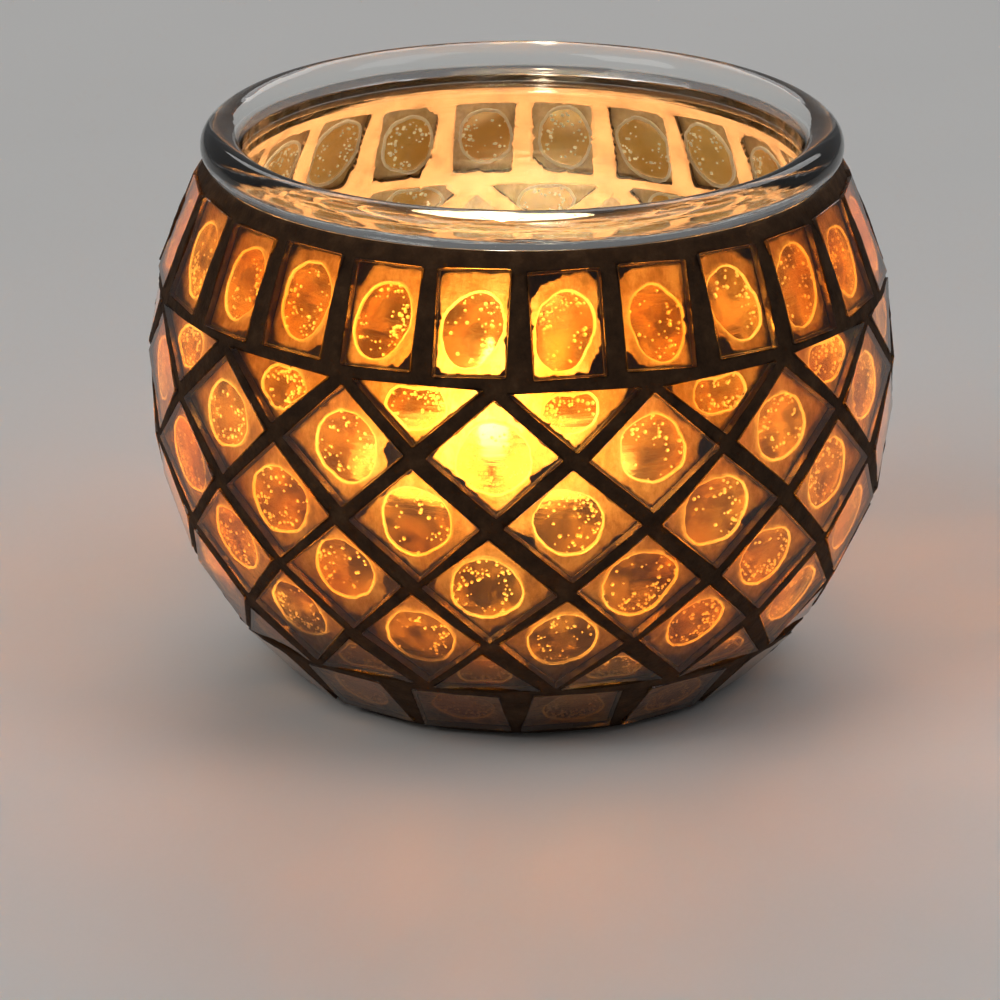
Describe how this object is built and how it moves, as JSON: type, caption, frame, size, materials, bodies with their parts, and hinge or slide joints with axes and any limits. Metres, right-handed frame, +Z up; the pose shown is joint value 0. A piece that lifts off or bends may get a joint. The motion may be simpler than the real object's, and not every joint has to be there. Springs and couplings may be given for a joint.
{
  "type": "tealight holder",
  "caption": "Round fishbowl tealight holder of clear glass with a rolled rim, faced with flat amber glass tiles in dark grout, with a tealight that lifts out.",
  "frame": {"origin": "on the bowl's axis, in the plane of its base", "axes": "+Z up the bowl's axis, through the mouth; -Y to the front; +X to the front's right"},
  "size_m": [0.102, 0.1018, 0.0769],
  "materials": {
    "clear_glass": "clear, fire polished",
    "amber_glass": "flat cut amber sheet glass",
    "dark_grout": "matt, fine grained",
    "pressed_aluminium": "bright pressed foil",
    "white_wax": "paraffin wax, melted on top",
    "cotton_wick": "braided cotton, charred",
    "tinned_steel": "thin tinned plate"
  },
  "bodies": {
    "holder": {"base_tile_row": "amber_glass", "collar_tile_01": "amber_glass", "collar_tile_02": "amber_glass", "collar_tile_03": "amber_glass", "collar_tile_04": "amber_glass", "collar_tile_05": "amber_glass", "collar_tile_06": "amber_glass", "collar_tile_07": "amber_glass", "collar_tile_08": "amber_glass", "collar_tile_09": "amber_glass", "collar_tile_10": "amber_glass", "collar_tile_11": "amber_glass", "collar_tile_12": "amber_glass", "collar_tile_13": "amber_glass", "collar_tile_14": "amber_glass", "collar_tile_15": "amber_glass", "collar_tile_16": "amber_glass", "collar_tile_17": "amber_glass", "collar_tile_18": "amber_glass", "collar_tile_19": "amber_glass", "collar_tile_20": "amber_glass", "collar_tile_21": "amber_glass", "collar_tile_22": "amber_glass", "collar_tile_23": "amber_glass", "collar_tile_24": "amber_glass", "diamond_row_1": "amber_glass", "diamond_row_2": "amber_glass", "diamond_row_3": "amber_glass", "diamond_row_4": "amber_glass", "glass_bowl": "clear_glass", "grout": "dark_grout", "lower_triangle_row": "amber_glass", "upper_triangle_01": "amber_glass", "upper_triangle_02": "amber_glass", "upper_triangle_03": "amber_glass", "upper_triangle_04": "amber_glass", "upper_triangle_05": "amber_glass", "upper_triangle_06": "amber_glass", "upper_triangle_07": "amber_glass", "upper_triangle_08": "amber_glass", "upper_triangle_09": "amber_glass", "upper_triangle_10": "amber_glass", "upper_triangle_11": "amber_glass", "upper_triangle_12": "amber_glass", "upper_triangle_13": "amber_glass", "upper_triangle_14": "amber_glass", "upper_triangle_15": "amber_glass"},
    "tealight": {"tealight_cup": "pressed_aluminium", "wax": "white_wax", "wick": "cotton_wick", "wick_holder": "tinned_steel"}
  },
  "joints": [
    {"name": "tealight_lift", "type": "slide", "parent": "holder", "child": "tealight", "axis": [0, 0, 1], "range_m": [0, 0.085]}
  ]
}
